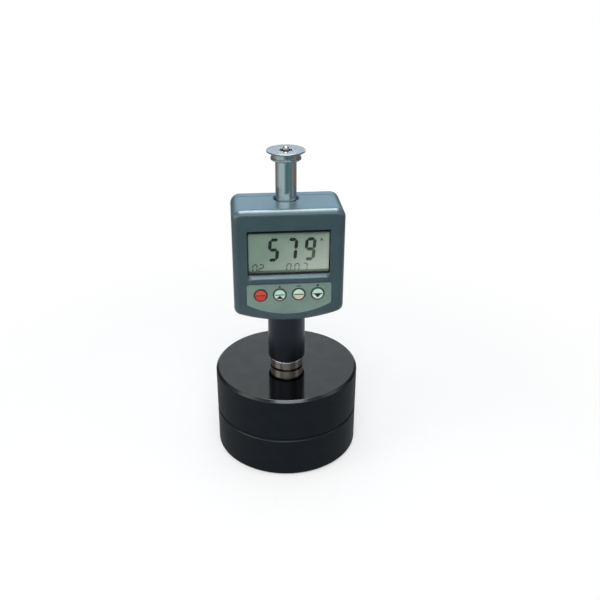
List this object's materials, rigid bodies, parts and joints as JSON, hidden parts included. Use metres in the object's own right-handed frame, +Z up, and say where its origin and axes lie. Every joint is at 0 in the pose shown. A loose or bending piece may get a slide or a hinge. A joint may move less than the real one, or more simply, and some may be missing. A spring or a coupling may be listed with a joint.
{
  "type": "rebound hardness tester",
  "caption": "Hand-held rebound hardness tester with display, keys, loading tube and release button, standing on its round steel test block.",
  "frame": {"origin": "middle of the test block's underside", "axes": "+Z up along the impact device, the display faces -Y, +X to the viewer's right"},
  "size_m": [0.09, 0.09, 0.1968],
  "materials": {
    "black_steel": "black oxide sides, polished dark top",
    "polished_steel": "polished",
    "turned_steel": "turned",
    "dark_collar": "dark anodised, satin",
    "housing_plastic": "moulded, satin gloss",
    "clear_pane": "clear",
    "black_plastic": "moulded black",
    "display_glass": "grey-green liquid crystal",
    "overlay_sheet": "printed sheet, fine matt",
    "red_key": "moulded",
    "mint_key": "moulded",
    "two_tone_key": "moulded, mint over beige",
    "spring_steel": "drawn wire",
    "carbide": "polished hard metal",
    "magnet": "nickel plated",
    "copper_wire": "enamelled winding",
    "contact_metal": "plated sheet",
    "board": "green laminate",
    "cell_jacket": "plain wrapped can"
  },
  "bodies": {
    "block": {"test_block": "black_steel"},
    "tester": {"front_shell": "housing_plastic", "rear_shell": "housing_plastic", "window_pane": "clear_pane", "display_frame": "black_plastic", "display_panel": "display_glass", "keypad_overlay": "overlay_sheet", "circuit_board": "board", "key_switches": "black_plastic", "battery_trays": "black_plastic", "battery_contacts": "contact_metal", "batteries": "cell_jacket", "housing_screws": "turned_steel", "guide_sleeve": "black_plastic", "guide_tube": "turned_steel", "lock_collar": "dark_collar", "lock_nut": "turned_steel", "foot_sleeve": "turned_steel", "support_ring": "turned_steel", "coil_bobbin": "black_plastic", "coil_winding": "copper_wire", "loading_spring": "spring_steel"},
    "loader": {"loading_tube": "polished_steel", "loading_cap": "polished_steel", "catch_chuck": "turned_steel", "impact_spring": "spring_steel", "release_spring": "spring_steel"},
    "release": {"release_button": "polished_steel", "release_rod": "turned_steel"},
    "impact": {"impact_body": "turned_steel", "impact_tip": "carbide", "impact_magnet": "magnet"},
    "power_key": {"power_key": "red_key"},
    "up_key": {"up_key": "mint_key"},
    "set_key": {"set_key": "two_tone_key"},
    "down_key": {"down_key": "mint_key"},
    "battery_door": {"battery_door": "housing_plastic"}
  },
  "joints": [
    {"name": "tester_lift", "type": "slide", "parent": "block", "child": "tester", "axis": [0, 0, 1], "range_m": [0, 0.15]},
    {"name": "loading_stroke", "type": "slide", "parent": "tester", "child": "loader", "axis": [0, 0, -1], "range_m": [0, 0.02], "stiffness_N_per_m": 300, "springref_m": -0.01, "deforming": ["loading_spring"]},
    {"name": "release_press", "type": "slide", "parent": "loader", "child": "release", "axis": [0, 0, -1], "range_m": [0, 0.002], "stiffness_N_per_m": 500, "springref_m": -0.001, "deforming": ["release_spring"]},
    {"name": "impact_travel", "type": "slide", "parent": "tester", "child": "impact", "axis": [0, 0, 1], "range_m": [0, 0.02], "deforming": ["impact_spring"]},
    {"name": "power_key_press", "type": "slide", "parent": "tester", "child": "power_key", "axis": [0, 1, 0], "range_m": [0, 0.0005], "stiffness_N_per_m": 1000, "springref_m": -0.0003},
    {"name": "up_key_press", "type": "slide", "parent": "tester", "child": "up_key", "axis": [0, 1, 0], "range_m": [0, 0.0005], "stiffness_N_per_m": 1000, "springref_m": -0.0003},
    {"name": "set_key_press", "type": "slide", "parent": "tester", "child": "set_key", "axis": [0, 1, 0], "range_m": [0, 0.0005], "stiffness_N_per_m": 1000, "springref_m": -0.0003},
    {"name": "down_key_press", "type": "slide", "parent": "tester", "child": "down_key", "axis": [0, 1, 0], "range_m": [0, 0.0005], "stiffness_N_per_m": 1000, "springref_m": -0.0003},
    {"name": "battery_door_pull", "type": "slide", "parent": "tester", "child": "battery_door", "axis": [0, 1, 0], "range_m": [0, 0.03]}
  ]
}
